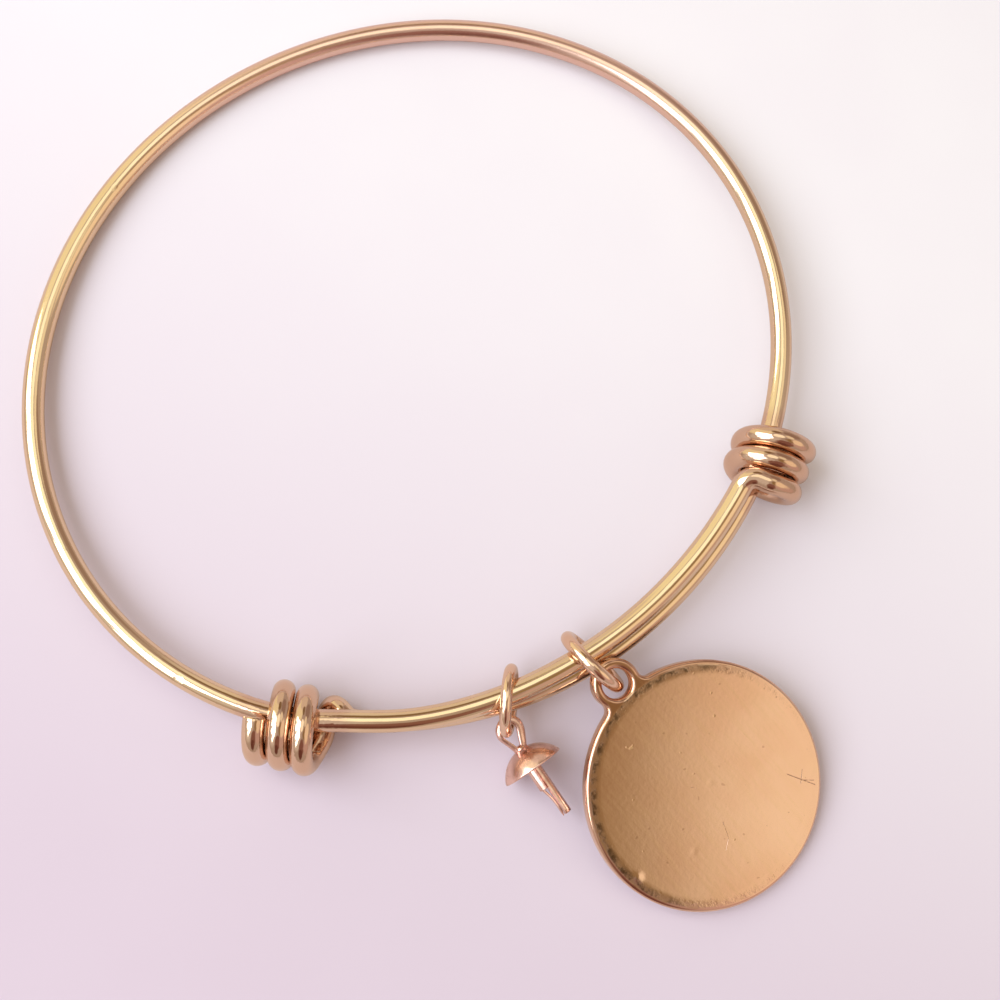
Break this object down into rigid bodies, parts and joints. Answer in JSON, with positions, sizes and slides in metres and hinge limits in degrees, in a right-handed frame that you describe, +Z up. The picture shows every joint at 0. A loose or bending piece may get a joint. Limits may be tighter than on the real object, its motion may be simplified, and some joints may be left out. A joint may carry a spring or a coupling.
{
  "type": "charm bangle",
  "caption": "Oval expandable wire bangle whose ends coil round each other at the front, with a plain disc charm and an empty pearl cup hanging on jump rings.",
  "frame": {"origin": "on the table, under the middle of the oval of wire", "axes": "+Z up from the table that the bangle lies on, along the axis of the wrist opening; -Y towards the front, where the charms lie; +X to the right as seen from above with the charms at the bottom"},
  "size_m": [0.0648, 0.0751, 0.0073],
  "materials": {
    "band_metal": "polished rose gold plate",
    "ring_metal": "polished rose gold plate",
    "disc_metal": "polished pale rose gold plate with light scratches",
    "cup_metal": "bright rose gold plate, copper brown inside its shine"
  },
  "bodies": {
    "root": {"wire_bangle": "band_metal", "disc_jump_ring": "ring_metal", "disc_charm": "disc_metal", "cup_jump_ring": "ring_metal", "pearl_cup": "cup_metal"}
  },
  "joints": []
}
